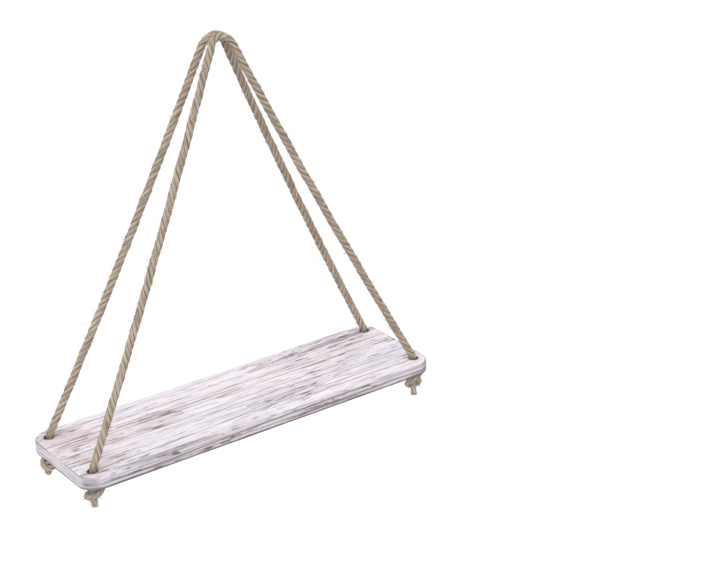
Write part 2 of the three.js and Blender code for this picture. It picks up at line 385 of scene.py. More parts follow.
def whitewashed_wood(streaks):
    """The board's finish: grain along it on both faces and round its edges, its end faces made paler as
    painted light, and dark in the holes from bare wood and painted shade.
    """
    material, tree, shader = new_material("whitewashed_wood", roughness=0.78, specular=0.3)
    group = weathering_group(streaks)
    texture = tree.nodes.new("ShaderNodeTexCoord")
    place = texture.outputs["Object"]
    x, y, z = parts_of(tree, place)

    rosiness = ramp(tree, x, *ROSY_PLACES)
    wear = ramp(tree, x, *WORN_PLACES, 0.85, 0.5)
    face = use_group(tree, group, stretched(tree, place, (1, 1, 0.2)), Wear=wear, Rosiness=rosiness)
    round_edge = vector_of(tree, sums(tree, "SUBTRACT", x, y), z)
    edge = use_group(tree, group, round_edge, Wear=0.4, Rosiness=rosiness)

    sideways, _, upward = parts_of(tree, texture.outputs["Normal"])
    flat = ramp(tree, sums(tree, "ABSOLUTE", upward), 0.6, 0.97)
    aside = sums(tree, "ABSOLUTE", sideways)
    corner = times(tree, ramp(tree, aside, 0.15, 0.5), ramp(tree, aside, 0.99, 0.85))
    corner = times(tree, corner, sums(tree, "SUBTRACT", 1.0, flat))
    # the holes' walls and rims dark: bare wood, and painted shade in the hole
    hole_wood_and_shade = ramp(tree, hole_distance(tree, x, y), *(HOLE_RADIUS + reach for reach in HOLE_WOOD_AND_SHADE))
    paint = blended(tree, flat, edge.outputs["Color"], face.outputs["Color"])
    paint = layered(tree, paint, (
        # painted light: the end faces, along X, made paler
        (ramp(tree, aside, 0.8, 0.97), 0.45, PAINT_AND_LIGHT),
        (corner, 0.3, GREY_GRAIN),
        (worn_lines_and_shade(tree, place, z, upward, corner), 1.0, DARK_GRAIN_AND_SHADE),
        (hole_wood_and_shade, 1.0, BARE_WOOD_IN_SHADE),
    ))
    join(tree, paint, shader.inputs["Base Color"])

    height = blended(tree, flat, edge.outputs["Height"], face.outputs["Height"], kind="FLOAT")
    join(tree, bump(tree, height, WOOD_RELIEF, 0.6), shader.inputs["Normal"])
    return material


# Lines round the edge: share of the thickness, width in mm, strength, and whether it runs all round
EDGE_LINES = (
    (0.03, 0.8, 0.9, True),
    (0.15, 0.5, 0.6, False),
    (0.27, 0.6, 0.5, True),
    (0.43, 0.5, 0.65, False),
    (0.58, 0.75, 0.7, True),
    (0.74, 0.5, 0.6, False),
)
EDGE_LINE_WANDER = 2.2 * MM
EDGE_LINE_CORE = 0.1 * MM
# heights over the underside at which the band of painted shade and wear along the lower arris starts and is
# full
LOWER_ARRIS_WEAR_AND_SHADE = (4.3 * MM, 2.2 * MM)


def worn_lines_and_shade(tree, place, z, upward, corner):
    """Thin dark lines that run round the board's edge, where the paint has worn off its ridges, over a dark
    band along the lower arris that is painted shade with some wear.
    """
    wobble = noise(tree, stretched(tree, place, (26, 26, 40)), detail=2)
    height = sums(tree, "ADD", z, times(tree, sums(tree, "SUBTRACT", wobble, 0.5), EDGE_LINE_WANDER))
    fade = noise(tree, stretched(tree, place, (16, 16, 60), shift=(4, 0, 0)), detail=1)
    kept = sums(tree, "MAXIMUM", ramp(tree, fade, 0.36, 0.56, 0.35, 1.0), corner)
    # painted shade along the lower arris, with some wear: a dark band at the foot of the edge
    total = ramp(tree, height, *(UNDERSIDE + rise for rise in LOWER_ARRIS_WEAR_AND_SHADE), 0.0, 0.95)
    total = times(tree, total, ramp(tree, fade, 0.36, 0.56, 0.8, 1.0))
    for share, width, strength, everywhere in EDGE_LINES:
        level = TOP_FACE - share * BOARD_SIZE[2]
        away = sums(tree, "ABSOLUTE", sums(tree, "SUBTRACT", height, level))
        mark = times(tree, ramp(tree, away, width * MM, EDGE_LINE_CORE), strength)
        mark = times(tree, mark, kept if everywhere else corner)
        total = sums(tree, "MAXIMUM", total, mark)
    total = times(tree, total, ramp(tree, upward, 0.97, 0.6))
    return times(tree, total, ramp(tree, upward, -0.99, -0.93))


def hole_distance(tree, x, y):
    """How far a point lies from the middle line of the nearest rope hole."""
    across = [
        sums(tree, "SUBTRACT", sums(tree, "ABSOLUTE", value), middle)
        for value, middle in ((x, HOLE_X), (y, HOLE_Y))
    ]
    return vector_sums(tree, "LENGTH", vector_of(tree, *across))


# Jute

JUTE = colour(219, 202, 184)
JUTE_BROWN = colour(163, 142, 121)
JUTE_ROSY = colour(214, 191, 177)
JUTE_OLIVE = colour(206, 195, 171)
# dark jute for painted shade in the grooves and at the rope's foot, and for soil there
JUTE_SHADE_AND_SOIL = colour(108, 91, 75)
# pale jute for fibre streaks, and for the painted light on the knots
JUTE_PALE_AND_LIT = colour(240, 230, 217)
STRAY_PALE = colour(176, 158, 134)
STRAY_DARK = colour(122, 103, 84)
JUTE_RELIEF = 0.2 * MM


def jute_rope(streaks):
    """Laid jute: yarns and loose fibres along each strand, each strand a little off in colour. Painted
    shade darkens the grooves between strands and yarns and the rope's foot on the board, and the knots are
    paler, partly as painted light from below.
    """
    material, tree, shader = new_material("jute_rope", roughness=0.9, specular=0.2)
    lie = attribute(tree, "fibre_lie").outputs["Vector"]
    strand_groove_shade = attribute(tree, "strand_groove_shade").outputs["Fac"]
    yarn_hollow_shade = attribute(tree, "yarn_hollow_shade").outputs["Fac"]
    strand = attribute(tree, "strand_place").outputs["Vector"]

    tone = noise(tree, strand, detail=2)
    tightness = noise(tree, stretched(tree, strand, (2.5, 1, 1), shift=(5, 3, 0)), detail=1)
    fibre = use_group(tree, streaks, lie, Length=110.0, Fineness=2200.0, Low=0.38, High=0.64).outputs[0]
    thread = use_group(tree, streaks, lie, Length=60.0, Fineness=620.0, Low=0.46, High=0.6).outputs[0]
    pale = use_group(tree, streaks, lie, Length=45.0, Fineness=800.0, Low=0.53, High=0.62).outputs[0]

    z = parts_of(tree, tree.nodes.new("ShaderNodeTexCoord").outputs["Object"])[2]
    # the rope below the board made paler: looser fibres, and painted light from below
    opened_and_lit_below = ramp(tree, z, UNDERSIDE, UNDERSIDE - KNOT_ROPE_DIAMETER)
    # the rope darkened near the board's top face and into the hole: soil, and painted shade where it meets
    # the board
    foot_soil_and_shade = ramp(tree, z, TOP_FACE + ROPE_DIAMETER, TOP_FACE)
    foot_soil_and_shade = times(tree, foot_soil_and_shade, ramp(tree, z, UNDERSIDE, TOP_FACE))
    paint = layered(tree, JUTE, (
        (ramp(tree, tone, 0.52, 0.66), 1.0, JUTE_ROSY),
        (ramp(tree, tone, 0.47, 0.33), 1.0, JUTE_OLIVE),
        (thread, 0.75, JUTE_BROWN),
        (fibre, 0.35, JUTE_BROWN),
        (pale, 0.75, JUTE_PALE_AND_LIT),
        (opened_and_lit_below, 0.4, JUTE_PALE_AND_LIT),
        (foot_soil_and_shade, 0.45, JUTE_SHADE_AND_SOIL),
        # painted shade in the hollows between yarns
        (yarn_hollow_shade, 0.4, JUTE_SHADE_AND_SOIL),
        # painted shade: the grooves between strands darkened, more where the lay is tight
        (strand_groove_shade, ramp(tree, tightness, 0.35, 0.6, 0.65, 0.95), JUTE_SHADE_AND_SOIL),
    ))
    join(tree, paint, shader.inputs["Base Color"])

    relief = sums(tree, "ADD", times(tree, fibre, 0.5), times(tree, thread, 0.6))
    join(tree, bump(tree, relief, JUTE_RELIEF, 0.7), shader.inputs["Normal"])
    return material


def stray_jute(streaks):
    """Single loose fibres, with darker stretches."""
    material, tree, shader = new_material("stray_jute", roughness=0.8, specular=0.2)
    place = tree.nodes.new("ShaderNodeTexCoord").outputs["Object"]
    speckle = use_group(tree, streaks, place, Length=300.0, Fineness=300.0, Low=0.4, High=0.65)
    paint = blended(tree, speckle.outputs[0], STRAY_PALE, STRAY_DARK)
    join(tree, paint, shader.inputs["Base Color"])
    return material


# The ropes' middle lines

# Points inside the board, round its rim, up the leg and over the hook, and passes that round the line
INSIDE_POINTS = 5
RIM_POINTS = 16
LEG_POINTS = 80
SEAT_POINTS = 24
ROUNDING_PASSES = 2


def rope_foot(side, row):
    """Where a rope stands in its hole: drawn against the rim on the side that it leans to."""
    hole = np.array([side * HOLE_X, row * HOLE_Y, 0.0])
    lean = np.array([-hole[0], row * LEAVING_OFFSET - hole[1], 0.0])
    return hole + lean / np.linalg.norm(lean) * (HOLE_RADIUS - ROPE_RADIUS - CLEARANCE)


def upper_route(side, row):
    """From inside the board up to the top of the hook: a leg that sags a little, and the bight."""
    foot = rope_foot(side, row)
    turn = foot + [0, 0, TOP_FACE + ROPE_TURN_HEIGHT]
    reach = math.hypot(turn[0], turn[2])
    lean = math.atan2(turn[2], abs(turn[0])) + math.acos(SEAT_RADIUS / reach)
    angle = lean - math.atan(4 * LEG_SAG / reach)

    def on_seat(share):
        a = angle + (math.pi / 2 - angle) * share
        return np.array([
            side * SEAT_RADIUS * math.cos(a),
            row * (ROPE_OFFSET + ROPE_SPREAD * (1 - share) ** 2),
            SEAT_RADIUS * math.sin(a),
        ])

    def on_leg(share):
        return turn + (on_seat(0) - turn) * share - [side * LEG_SAG * 4 * share * (1 - share), 0, 0]

    bend_share = ROPE_TURN_LENGTH / 2 / np.linalg.norm(on_seat(0) - turn)
    below = turn - [0, 0, ROPE_TURN_LENGTH / 2]
    above = on_leg(bend_share)
    shares = np.linspace(0, 1, RIM_POINTS)[:, None]
    bend = (1 - shares) ** 2 * below + 2 * shares * (1 - shares) * turn + shares**2 * above
    leg = np.array([on_leg(share) for share in np.linspace(bend_share, 1, LEG_POINTS)[1:-1]])
    seat = np.array([on_seat(share) for share in np.linspace(0, 1, SEAT_POINTS)])
    inside = np.linspace([*foot[:2], HOLE_MIDDLE], below, INSIDE_POINTS)[:-1]
    return np.vstack([inside, bend, leg, seat])


def lengths_along(line):
    """How far along a line each of its points lies."""
    return np.concatenate([[0], np.cumsum(np.linalg.norm(np.diff(line, axis=0), axis=1))])


def even_points(line, count):
    """Points at even steps along a line."""
    lengths = lengths_along(line)
    goals = lengths[-1] * np.arange(count) / (count - 1)
    return np.stack([np.interp(goals, lengths, line[:, axis]) for axis in range(3)], axis=1)


# The overhand knot, as shares of the diameter of its own drawn rope
LOOSE_SINE_SHARES = (0.5, 1.5)
LOOSE_COSINE_SHARES = (0.4, 1.5)
LOOSE_DEPTH_SHARE = 0.9
LOOSE_TURN_SHARE = 0.684
STANDING_REACH_SHARE = 2
KNOT_SPACING_SHARE = 1.09
KNOT_BEND_SHARE = 1.5
STANDING_LINE_SHARE = 0.6

# Points of the loose knot and of the drawn one, passes that draw it, and points held near its axis
LOOSE_POINTS = 80
KNOT_POINTS = 78
DRAW_PASSES = 400
SMOOTH_PASSES = 3
PUSH_PASSES = 6
HELD_POINTS = 6


def loose_knot(tail_end):
    """A wide open overhand knot: an open trefoil with its standing part above and its tail below."""
    t = np.pi * LOOSE_TURN_SHARE * np.linspace(-1, 1, LOOSE_POINTS)
    turns = np.stack([
        LOOSE_SINE_SHARES[0] * np.sin(t) + LOOSE_SINE_SHARES[1] * np.sin(2 * t),
        LOOSE_COSINE_SHARES[0] * np.cos(t) - LOOSE_COSINE_SHARES[1] * np.cos(2 * t),
        -LOOSE_DEPTH_SHARE * np.sin(3 * t),
    ], axis=1)
    return even_points(np.vstack([(0, 0, STANDING_REACH_SHARE), turns, tail_end]), KNOT_POINTS)


def push_apart(line):
    """Pushes apart the points of a line that are closer than the rope is thick."""
    step = np.linalg.norm(line[1] - line[0])
    apart = math.floor(KNOT_BEND_SHARE / step) + 1
    away = line[:, None] - line[None]
    distance = np.linalg.norm(away, axis=2)
    far = np.abs(np.subtract.outer(np.arange(len(line)), np.arange(len(line)))) >= apart
    close = far & (distance < KNOT_SPACING_SHARE)
    push = np.where(close, (KNOT_SPACING_SHARE - distance) / np.where(close, 2 * distance, 1), 0)
    touches = close.sum(axis=1)
    share = 0.5 / np.sqrt(np.maximum(touches, 1))
    share[0] = share[-1] = 0
    return line + (away * push[..., None]).sum(axis=1) * share[:, None]


def tight_knot(tail_end):
    """A knot drawn tight, in diameters of the drawn rope."""
    line = loose_knot(tail_end)
    held = np.arange(HELD_POINTS)[:, None] / HELD_POINTS
    for _ in range(DRAW_PASSES):
        for _ in range(SMOOTH_PASSES):
            line[1:-1] += 0.5 * ((line[:-2] + line[2:]) / 2 - line[1:-1])
        for _ in range(PUSH_PASSES):
            line = push_apart(line)
        line = even_points(line, KNOT_POINTS)
        line[:HELD_POINTS, :2] *= held
    return line


def knot_route(corner):
    """A knot's middle line, with its shoulder at zero height, from its standing part to its tail."""
    line = tight_knot(TAIL_END_SHARES[corner]) * [1, KNOT_HANDS[corner], 1] * KNOT_ROPE_DIAMETER
    loops = np.hypot(line[:, 0], line[:, 1]) > STANDING_LINE_SHARE * KNOT_ROPE_DIAMETER
    line[:, 2] -= line[loops, 2].max() + KNOT_ROPE_DIAMETER / 2
    return line


def lower_route(side, row, corner):
    """From inside the board down through the knot to the end of the tail."""
    knot = knot_route(corner)
    last = knot[-1] - knot[-2]
    tail = knot[-1] + last / np.linalg.norm(last) * TAIL_LENGTHS[corner] * MM
    turn = math.radians(KNOT_TURNS[corner])
    c, s = math.cos(turn), math.sin(turn)
    turned = np.vstack([knot, tail]) @ np.array([[c, s, 0], [-s, c, 0], [0, 0, 1]])
    placed = turned + rope_foot(side, row) + [0, 0, UNDERSIDE - CLEARANCE]
    return placed[placed[:, 2] < HOLE_MIDDLE - MM]


def rounded(line):
    """A line with its corners rounded off and, at each pass, twice the points."""
    for _ in range(ROUNDING_PASSES):
        a, b = line[:-1], line[1:]
        between = np.stack([0.75 * a + 0.25 * b, 0.25 * a + 0.75 * b], axis=1).reshape(-1, 3)
        line = np.vstack([line[:1], between, line[-1:]])
    return line


def rope_line(row_name):
    """The whole rope, from its left tail over the hook to its right tail."""
    row = ROWS[row_name]
    halves = []
    for side_name, side in SIDES.items():
        down = lower_route(side, row, f"{row_name}_{side_name}")
        halves.append(np.vstack([down[::-1], upper_route(side, row)]))
    left, right = halves
    return rounded(np.vstack([left, right[::-1][1:]]))


# The ropes' surfaces

RING_STEP = 0.7 * MM
COLUMNS = 60
CROWN_OFFSET_SHARE = 0.36
KNOT_OFFSET_SHARE = 0.32
VALLEY_START_SHARE = 0.84
VALLEY_RELIEF = 0.3 * MM
YARNS = 5
YARN_LENGTH = 12.5 * MM
YARN_RELIEF = 0.16 * MM
SURFACE_RELIEF = 0.03 * MM
FIBRE_DRIFT = 0.12

# How a rope wanders and swells, the height over the board in which it is still held, and its cut ends
WAVES = 7
WAVE_SHARES = (0.6, 2.2)
WANDER = 0.14 * MM
WANDER_LENGTH = 45 * MM
HELD_HEIGHT = 30 * MM
LAY_WANDER_SHARE = 0.03
LAY_WANDER_LENGTH = 60 * MM
SWELL_SHARE = 0.05
SWELL_LENGTH = 30 * MM
END_FLARE_SHARE = 0.1
END_FLARE_LENGTH = 2.5 * MM

# Where the rope starts and ends to be squeezed, from the board's top face down
SQUEEZE_START = 1 * MM
SQUEEZE_LENGTH = 0.9 * BOARD_SIZE[2]

# How fast the colour changes along a strand, and how far apart strands and ropes lie in its pattern
TONE_LENGTH = 22 * MM
STRAND_TONE_STEP = 3.7
ROPE_TONE_STEP = 10

SURFACE_SEED = 11
STRAND_SEED = 7
STRAND_SEED_STEP = 50


def slow_noise(rng, places, wave_length):
    """A smooth random value of about -1 to 1 at each place along a line."""
    total = np.zeros_like(places)
    for _ in range(WAVES):
        wave = wave_length * rng.uniform(*WAVE_SHARES)
        total += np.sin(2 * np.pi * places / wave + rng.uniform(0, 2 * np.pi))
    return total / math.sqrt(WAVES)


def ring_frames(line):
    """Unit vectors along and across a line at each of its points, turning as little as they can."""
    ahead = np.gradient(line, axis=0)
    ahead /= np.linalg.norm(ahead, axis=1)[:, None]
    across = np.zeros_like(ahead)
    start = np.cross((0, 1, 0), ahead[0])
    across[0] = start / np.linalg.norm(start)
    for i in range(1, len(line)):
        side = across[i - 1] - ahead[i] * (across[i - 1] @ ahead[i])
        across[i] = side / np.linalg.norm(side)
    return ahead, across, np.cross(ahead, across)


def rope_surface(row_name, line):
    """The rope as a grid of points: rings along it and columns that follow its strands."""
    hand = ROWS[row_name]
    rng = np.random.default_rng(SURFACE_SEED + hand)
    count = int(round(lengths_along(line)[-1] / RING_STEP)) + 1
    middle = even_points(line, count)
    places = lengths_along(middle)
    ahead, across, beside = ring_frames(middle)

    wobble = WANDER * np.minimum(1, np.abs(middle[:, 2] - TOP_FACE) / HELD_HEIGHT)
    middle = middle + across * (slow_noise(rng, places, WANDER_LENGTH) * wobble)[:, None]
    middle += beside * (slow_noise(rng, places, WANDER_LENGTH) * wobble)[:, None]

    in_knot = np.clip((TOP_FACE + SQUEEZE_START - middle[:, 2]) / SQUEEZE_LENGTH, 0, 1)
    in_knot = in_knot * in_knot * (3 - 2 * in_knot)
    crown = CROWN_RADIUS + (KNOT_CROWN_RADIUS - CROWN_RADIUS) * in_knot
    ends = np.minimum(places, places[-1] - places)
    crown = crown * (1 + END_FLARE_SHARE * np.exp(-ends / END_FLARE_LENGTH))

    lay_length = np.interp(places, (0, places[-1]), LAY_LENGTHS)
    turns = np.cumsum(RING_STEP / lay_length)
    turns += LAY_WANDER_SHARE * slow_noise(rng, places, LAY_WANDER_LENGTH)
    lay = hand * 2 * np.pi * turns
    column = 2 * np.pi * np.arange(COLUMNS) / COLUMNS
    strand = np.arange(COLUMNS) * STRANDS // COLUMNS
    local = column - (strand + 0.5) * 2 * np.pi / STRANDS
    from_crown = np.abs(local) / (np.pi / STRANDS)

    radius = np.zeros((count, COLUMNS))
    yarn_hollow_shade = np.zeros((count, COLUMNS))
    offset = CROWN_OFFSET_SHARE + (KNOT_OFFSET_SHARE - CROWN_OFFSET_SHARE) * in_knot
    for k in range(COLUMNS):
        strand_rng = np.random.default_rng(STRAND_SEED_STEP * strand[k] + hand + STRAND_SEED)
        swell = 1 + SWELL_SHARE * slow_noise(strand_rng, places, SWELL_LENGTH)
        centre, strand_radius = offset * crown, (1 - offset) * crown * swell
        reach = strand_radius**2 - (centre * np.sin(local[k])) ** 2
        radius[:, k] = centre * np.cos(local[k]) + np.sqrt(np.maximum(reach, 0))
        around = np.arctan2(radius[:, k] * np.sin(local[k]), radius[:, k] * np.cos(local[k]) - centre)
        phase = YARNS * (around - hand * 2 * np.pi * places / YARN_LENGTH) / 2 + strand[k]
        # the hollows between yarns: sunk below, and darkened in colour as painted shade
        yarn_hollow_shade[:, k] = 1 - np.abs(np.cos(phase))
    valley = np.clip((from_crown - VALLEY_START_SHARE) / (1 - VALLEY_START_SHARE), 0, 1) ** 2
    radius -= YARN_RELIEF * yarn_hollow_shade**2 + VALLEY_RELIEF * valley
    radius += SURFACE_RELIEF * rng.standard_normal(radius.shape)

    angle = column[None] + lay[:, None]
    outward = across[:, None] * np.cos(angle)[..., None] + beside[:, None] * np.sin(angle)[..., None]
    points = middle[:, None] + outward * radius[..., None]
    # mask for the painted shade in the grooves between strands
    strand_groove_shade = np.clip(from_crown, 0, 1) ** 6
    drift = column[None] + FIBRE_DRIFT * lay[:, None]
    lie = np.stack([
        np.broadcast_to(places[:, None], angle.shape),
        ROPE_RADIUS * np.cos(drift),
        ROPE_RADIUS * np.sin(drift),
    ], axis=2)
    strand_place = np.stack([
        np.broadcast_to(places[:, None] / TONE_LENGTH, angle.shape),
        np.broadcast_to(strand[None] * STRAND_TONE_STEP + hand * ROPE_TONE_STEP, angle.shape),
        np.zeros_like(angle),
    ], axis=2)
    return {
        "middle": middle, "places": places, "ahead": ahead, "points": points, "outward": outward,
        "normals": grid_normals(points),
        "values": {"strand_groove_shade": np.broadcast_to(strand_groove_shade[None], angle.shape), "yarn_hollow_shade": yarn_hollow_shade**3},
        "vectors": {"fibre_lie": lie, "strand_place": strand_place},
    }


def grid_normals(points):
    """The outward direction at each point of a tube's grid."""
    along = np.gradient(points, axis=0)
    around = np.roll(points, -1, axis=1) - np.roll(points, 1, axis=1)
    normals = np.cross(around, along)
    return normals / np.linalg.norm(normals, axis=2)[..., None]


def stretch_mesh(name, rope, first, last):
    """A closed piece of a rope from one ring to another, shaded as one with its neighbours."""
    rings = np.arange(first, last + 1)
    points = rope["points"][rings]
    count = len(rings)
    ends = []
    for ring, inward in ((first, rope["ahead"][first]), (last, -rope["ahead"][last])):
        ends.append(rope["middle"][ring] + inward * MM)
    vertices = np.vstack([points.reshape(-1, 3), ends])

    ring, column = np.meshgrid(np.arange(count - 1), np.arange(COLUMNS), indexing="ij")
    following = (column + 1) % COLUMNS
    quads = np.stack([
        ring * COLUMNS + column,
        ring * COLUMNS + following,
        (ring + 1) * COLUMNS + following,
        (ring + 1) * COLUMNS + column,
    ], axis=2).reshape(-1, 4)
    column = np.arange(COLUMNS)
    following = (column + 1) % COLUMNS
    final = (count - 1) * COLUMNS
    low_cap = np.stack([following, column, np.full(COLUMNS, count * COLUMNS)], axis=1)
    high_cap = np.stack([final + column, final + following, np.full(COLUMNS, count * COLUMNS + 1)], axis=1)

    mesh = bpy.data.meshes.new(name)
    mesh.from_pydata(vertices.tolist(), [], quads.tolist() + low_cap.tolist() + high_cap.tolist())
    mesh.shade_smooth()

    for label, values in rope["values"].items():
        layer = mesh.attributes.new(label, "FLOAT", "POINT")
        layer.data.foreach_set("value", np.append(values[rings].ravel(), [1, 1]).astype(np.float32))
    for label, vectors in rope["vectors"].items():
        layer = mesh.attributes.new(label, "FLOAT_VECTOR", "POINT")
        rows = vectors[rings].reshape(-1, 3)
        rows = np.vstack([rows, rows[0], rows[-1]])
        layer.data.foreach_set("vector", rows.astype(np.float32).ravel())

    layer = mesh.uv_layers.new(name="UVMap")
    around = np.stack([column, column + 1, column + 1, column], axis=1) / COLUMNS
    u = np.tile(around, (count - 1, 1)).ravel()
    v = rope["places"][rings] / LAY_LENGTHS[0]
    v = np.stack([v[:-1], v[:-1], v[1:], v[1:]], axis=1).repeat(COLUMNS, axis=0).ravel()
    cap_u = np.stack([column + 1, column, column], axis=1).ravel() / COLUMNS
    caps = [np.stack([cap_u, np.full_like(cap_u, end)], axis=1) for end in (v[0], v[-1])]
    layer.data.foreach_set("uv", np.vstack([np.stack([u, v], axis=1), *caps]).astype(np.float32).ravel())

    normals = rope["normals"][rings].reshape(-1, 3)
    corners = normals[quads.ravel()]
    cap_normals = [
        np.repeat([-rope["ahead"][first]], 3 * COLUMNS, axis=0),
        np.repeat([rope["ahead"][last]], 3 * COLUMNS, axis=0),
    ]
    mesh.normals_split_custom_set(np.vstack([corners, *cap_normals]).tolist())
    return add_object(name, mesh)


# Stray fibres

# Steps along a fibre, how much thinner its tip gets, and a direction in which none of them lies
FIBRE_STEPS = 4
FIBRE_TAPER_SHARE = 0.6
NO_FIBRES_DIRECTION = (0.31, 0.52, 0.79)

# Loose fibres: lengths, radius and depth of the root, how steeply they rise in degrees, how far they
# turn aside, and how they curl at random and back to the rope
STRAY_LENGTHS = (2.5 * MM, 12 * MM)
STRAY_LENGTH_POWER = 0.55
STRAY_RADIUS = 0.15 * MM
STRAY_ROOT = 0.3 * MM
STRAY_LIFTS = (12, 75)
STRAY_SWING = 0.5
STRAY_CURL = 0.7
STRAY_RETURN = 0.35
STRAY_COUNTS = {"bight": 64, "neck": 32, "leg": 600}

# The brush of a cut tail, and the share of the rope's radius within which it stands
BRUSH_LENGTHS = (1.2 * MM, 3 * MM)
BRUSH_RADIUS = 0.13 * MM
BRUSH_ROOT = 0.8 * MM
BRUSH_REACH_SHARE = 0.97
BRUSH_SPREADS = (0.05, 0.4)
BRUSH_CURL = 0.25
BRUSH_COUNT = 150

FIBRE_SEEDS = {"front": 100, "back": 300}


def unit(vectors):
    """Vectors brought to a length of 1."""
    return vectors / np.linalg.norm(vectors, axis=1)[:, None]


def stray_fibres(name, rope, first, last, count, seed):
    """Loose fibres that stand off a stretch of rope, as thin tapering tubes."""
    rng = np.random.default_rng(seed)
    ring = rng.integers(first, last + 1, count)
    column = rng.integers(0, COLUMNS, count)
    root = rope["points"][ring, column]
    outward = rope["outward"][ring, column]
    ahead = rope["ahead"][ring] * rng.choice([-1, 1], count)[:, None]
    sideways = np.cross(ahead, outward)
    least, most = STRAY_LENGTHS
    length = least + (most - least) * rng.power(STRAY_LENGTH_POWER, count)
    lift = np.radians(rng.uniform(*STRAY_LIFTS, count))[:, None]
    swing = rng.normal(0, STRAY_SWING, count)[:, None]
    start = unit(ahead * np.cos(lift) + outward * np.sin(lift) + sideways * swing)
    curl = rng.normal(0, STRAY_CURL, (count, 3)) - STRAY_RETURN * outward
    return fibre_mesh(name, root - outward * STRAY_ROOT, start, curl, length, STRAY_RADIUS)


def frayed_end(name, rope, at_start, seed):
    """The brush of cut fibres at the end of a tail."""
    rng = np.random.default_rng(seed)
    ring = 1 if at_start else len(rope["places"]) - 2
    ahead = -rope["ahead"][ring] if at_start else rope["ahead"][ring]
    column = rng.integers(0, COLUMNS, BRUSH_COUNT)
    share = np.sqrt(rng.uniform(0, 1, BRUSH_COUNT))[:, None]
    middle = rope["middle"][ring]
    root = middle + (rope["points"][ring, column] - middle) * share * BRUSH_REACH_SHARE - ahead * BRUSH_ROOT
    outward = rope["outward"][ring, column]
    spread = rng.uniform(*BRUSH_SPREADS, BRUSH_COUNT)[:, None]
    start = unit(ahead + outward * share * spread)
    length = rng.uniform(*BRUSH_LENGTHS, BRUSH_COUNT)
    curl = rng.normal(0, BRUSH_CURL, (BRUSH_COUNT, 3))
    return fibre_mesh(name, root, start, curl, length, BRUSH_RADIUS)


def fibre_mesh(name, root, start, curl, length, thick):
    """Bent thin tubes of three sides, each closed at its root and pointed at its tip."""
    count = len(root)
    steps = np.linspace(0, 1, FIBRE_STEPS + 1)
    share = steps[None, :, None] * length[:, None, None]
    line = root[:, None] + start[:, None] * share + curl[:, None] * share * steps[None, :, None]
    side = unit(np.cross(start, NO_FIBRES_DIRECTION))
    other = np.cross(start, side)
    vertices = []
    for i in range(FIBRE_STEPS):
        radius = thick * (1 - FIBRE_TAPER_SHARE * steps[i])
        for a in (0, 2 * np.pi / 3, 4 * np.pi / 3):
            vertices.append(line[:, i] + (side * np.cos(a) + other * np.sin(a)) * radius)
    vertices.append(line[:, FIBRE_STEPS])
    each = len(vertices)
    points = np.stack(vertices, axis=1).reshape(-1, 3)
    faces = [(2, 1, 0)]
    for i in range(FIBRE_STEPS - 1):
        for k in range(3):
            n = (k + 1) % 3
            faces.append((3 * i + k, 3 * i + n, 3 * i + 3 + n, 3 * i + 3 + k))
    base = 3 * (FIBRE_STEPS - 1)
    faces += [(base + k, base + (k + 1) % 3, each - 1) for k in range(3)]
    mesh = bpy.data.meshes.new(name)
    mesh.from_pydata(points.tolist(), [], [
        tuple(v + each * i for v in face) for i in range(count) for face in faces
    ])
    mesh.shade_smooth()
    return add_object(name, mesh)


# The ropes as pieces

def ring_at_height(rope, side, height):
    """The ring whose middle is nearest to a height, on one side of the hook."""
    middle = rope["middle"]
    beside = middle[:, 0] * side > 0
    return int(np.argmin(np.where(beside, np.abs(middle[:, 2] - height), np.inf)))


def finish_piece(piece, material):
    """Gives a piece its material."""
    piece.data.materials.clear()
    piece.data.materials.append(material)
    return piece


def bend_down(piece):
    """Bakes the piece's placement into its mesh."""
    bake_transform(piece)


def add_rope(row_name, jute, stray):
    """One rope as a bight, two necks and two legs with their knots, and its loose fibres."""
    rope = rope_surface(row_name, rope_line(row_name))
    final = len(rope["places"]) - 1
    neck_tops = [ring_at_height(rope, side, NECK_TOP) for side in SIDES.values()]
    leg_tops = [ring_at_height(rope, side, LEG_TOP) for side in SIDES.values()]
    seed = FIBRE_SEEDS[row_name]

    over = (neck_tops[0], neck_tops[1])
    bight = stretch_mesh(f"{row_name}_bight_rope", rope, *over)
    hairs = stray_fibres(f"{row_name}_bight_fibres", rope, *over, STRAY_COUNTS["bight"], seed)
    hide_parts(f"{row_name}_rope_bight")
    for piece, material in ((bight, jute), (hairs, stray)):
        finish_piece(piece, material)
        bend_down(piece)

    for number, side_name in enumerate(SIDES):
        corner = f"{row_name}_{side_name}"
        tail_first = number == 0
        neck = sorted((neck_tops[number], leg_tops[number]))
        leg = (0, leg_tops[0]) if tail_first else (leg_tops[1], final)
        neck_piece = stretch_mesh(f"{corner}_neck_rope", rope, *neck)
        seed += 1
        neck_hairs = stray_fibres(f"{corner}_neck_fibres", rope, *neck, STRAY_COUNTS["neck"], seed)
        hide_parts(f"{corner}_swing_neck", f"{corner}_sway_neck")
        for piece, material in ((neck_piece, jute), (neck_hairs, stray)):
            finish_piece(piece, material)
            bend_down(piece)

        leg_piece = stretch_mesh(f"{corner}_leg_rope", rope, *leg)
        leg_hairs = stray_fibres(f"{corner}_leg_fibres", rope, *leg, STRAY_COUNTS["leg"], seed + 2)
        brush = frayed_end(f"{corner}_tail_brush", rope, tail_first, seed + 4)
        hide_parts(f"{corner}_leg", f"{corner}_knot")
        for piece, material in ((leg_piece, jute), (leg_hairs, stray), (brush, stray)):
            finish_piece(piece, material)
            bend_down(piece)

        path = rope["middle"][leg[0]:leg[1] + 1]
        path = path[::-1] if tail_first else path


# The board

TINY = 0.01 * MM
CORNER_SEGMENTS = 14
EDGE_SEGMENTS = 6
GRID_SPACING = 6 * MM
OUTLINE_MARGIN = 0.2 * MM
HOLE_SIDES = 48
CUTTER_OVERRUN = 4 * MM
SMOOTH_ANGLE = math.radians(32)

